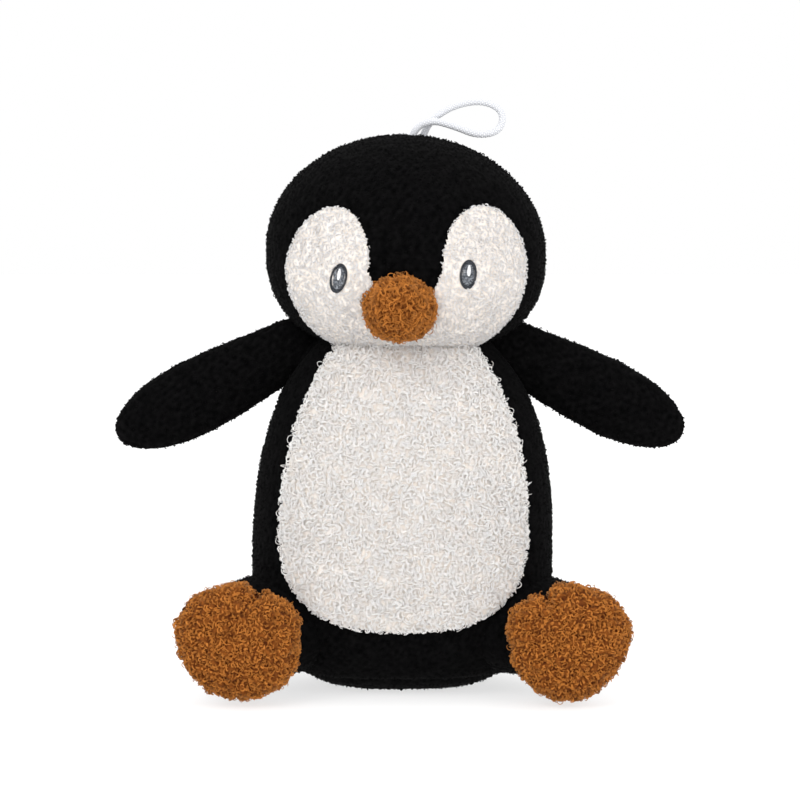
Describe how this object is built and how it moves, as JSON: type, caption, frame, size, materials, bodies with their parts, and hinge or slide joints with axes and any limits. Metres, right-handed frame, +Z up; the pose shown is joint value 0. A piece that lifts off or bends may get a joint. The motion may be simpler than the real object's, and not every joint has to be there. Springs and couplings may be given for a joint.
{
  "type": "plush penguin",
  "caption": "Stuffed penguin with black pile body, off-white looped face and belly, orange-brown beak and feet, spread flippers and a cord loop on its crown.",
  "frame": {"origin": "centre of the flat underside that the toy sits on", "axes": "+Z up, -Y out of the front of the toy, +X towards the toy's own left side"},
  "size_m": [0.2582, 0.1215, 0.2644],
  "materials": {
    "black_plush": "short dense matte pile",
    "white_boucle": "looped boucle pile, matte",
    "orange_boucle": "short looped pile, matte",
    "eye_thread": "satin-stitched thread, slight sheen",
    "white_thread": "satin-stitched thread, slight sheen",
    "loop_cord": "braided round cord, matte",
    "filling": "loose polyester fibre"
  },
  "bodies": {
    "torso": {"torso_side_left": "black_plush", "torso_side_right": "black_plush", "torso_back_left": "black_plush", "torso_back_right": "black_plush", "belly_patch": "white_boucle", "base_panel": "black_plush", "torso_stuffing": "filling", "leg_left_cover": "black_plush", "leg_left_stuffing": "filling", "leg_right_cover": "black_plush", "leg_right_stuffing": "filling"},
    "neck": {"neck_stuffing": "filling"},
    "head": {"head_front": "black_plush", "head_back_left": "black_plush", "head_back_right": "black_plush", "face_patch": "white_boucle", "beak_cover": "orange_boucle", "beak_stuffing": "filling", "eye_left": "eye_thread", "eye_right": "eye_thread", "eye_left_highlight": "white_thread", "eye_right_highlight": "white_thread", "head_stuffing": "filling", "hang_loop": "loop_cord", "hang_loop_knot": "loop_cord"},
    "wing_left": {"wing_left_front": "black_plush", "wing_left_back": "black_plush", "wing_left_stuffing": "filling"},
    "foot_left": {"foot_left_sole": "orange_boucle", "foot_left_upper": "orange_boucle", "foot_left_stuffing": "filling"},
    "wing_right": {"wing_right_front": "black_plush", "wing_right_back": "black_plush", "wing_right_stuffing": "filling"},
    "foot_right": {"foot_right_sole": "orange_boucle", "foot_right_upper": "orange_boucle", "foot_right_stuffing": "filling"}
  },
  "joints": [
    {"name": "head_turn", "type": "hinge", "parent": "torso", "child": "neck", "pos_m": [0, 0, 0.1965], "axis": [0, 0, 1], "range_deg": [-20, 20], "stiffness_Nm_per_rad": 0.12},
    {"name": "head_nod", "type": "hinge", "parent": "neck", "child": "head", "pos_m": [0, 0, 0.1965], "axis": [1, 0, 0], "range_deg": [-8, 8], "stiffness_Nm_per_rad": 0.2},
    {"name": "wing_left_swing", "type": "hinge", "parent": "torso", "child": "wing_left", "pos_m": [0.0557, 0, 0.148], "axis": [0, 0, 1], "range_deg": [-50, 50], "stiffness_Nm_per_rad": 0.03},
    {"name": "foot_left_flex", "type": "hinge", "parent": "torso", "child": "foot_left", "pos_m": [0.073, -0.03, 0.027], "axis": [1, 0, 0], "range_deg": [-15, 15], "stiffness_Nm_per_rad": 0.08},
    {"name": "wing_right_swing", "type": "hinge", "parent": "torso", "child": "wing_right", "pos_m": [-0.0557, 0, 0.148], "axis": [0, 0, 1], "range_deg": [-50, 50], "stiffness_Nm_per_rad": 0.03},
    {"name": "foot_right_flex", "type": "hinge", "parent": "torso", "child": "foot_right", "pos_m": [-0.073, -0.03, 0.027], "axis": [1, 0, 0], "range_deg": [-15, 15], "stiffness_Nm_per_rad": 0.08}
  ]
}
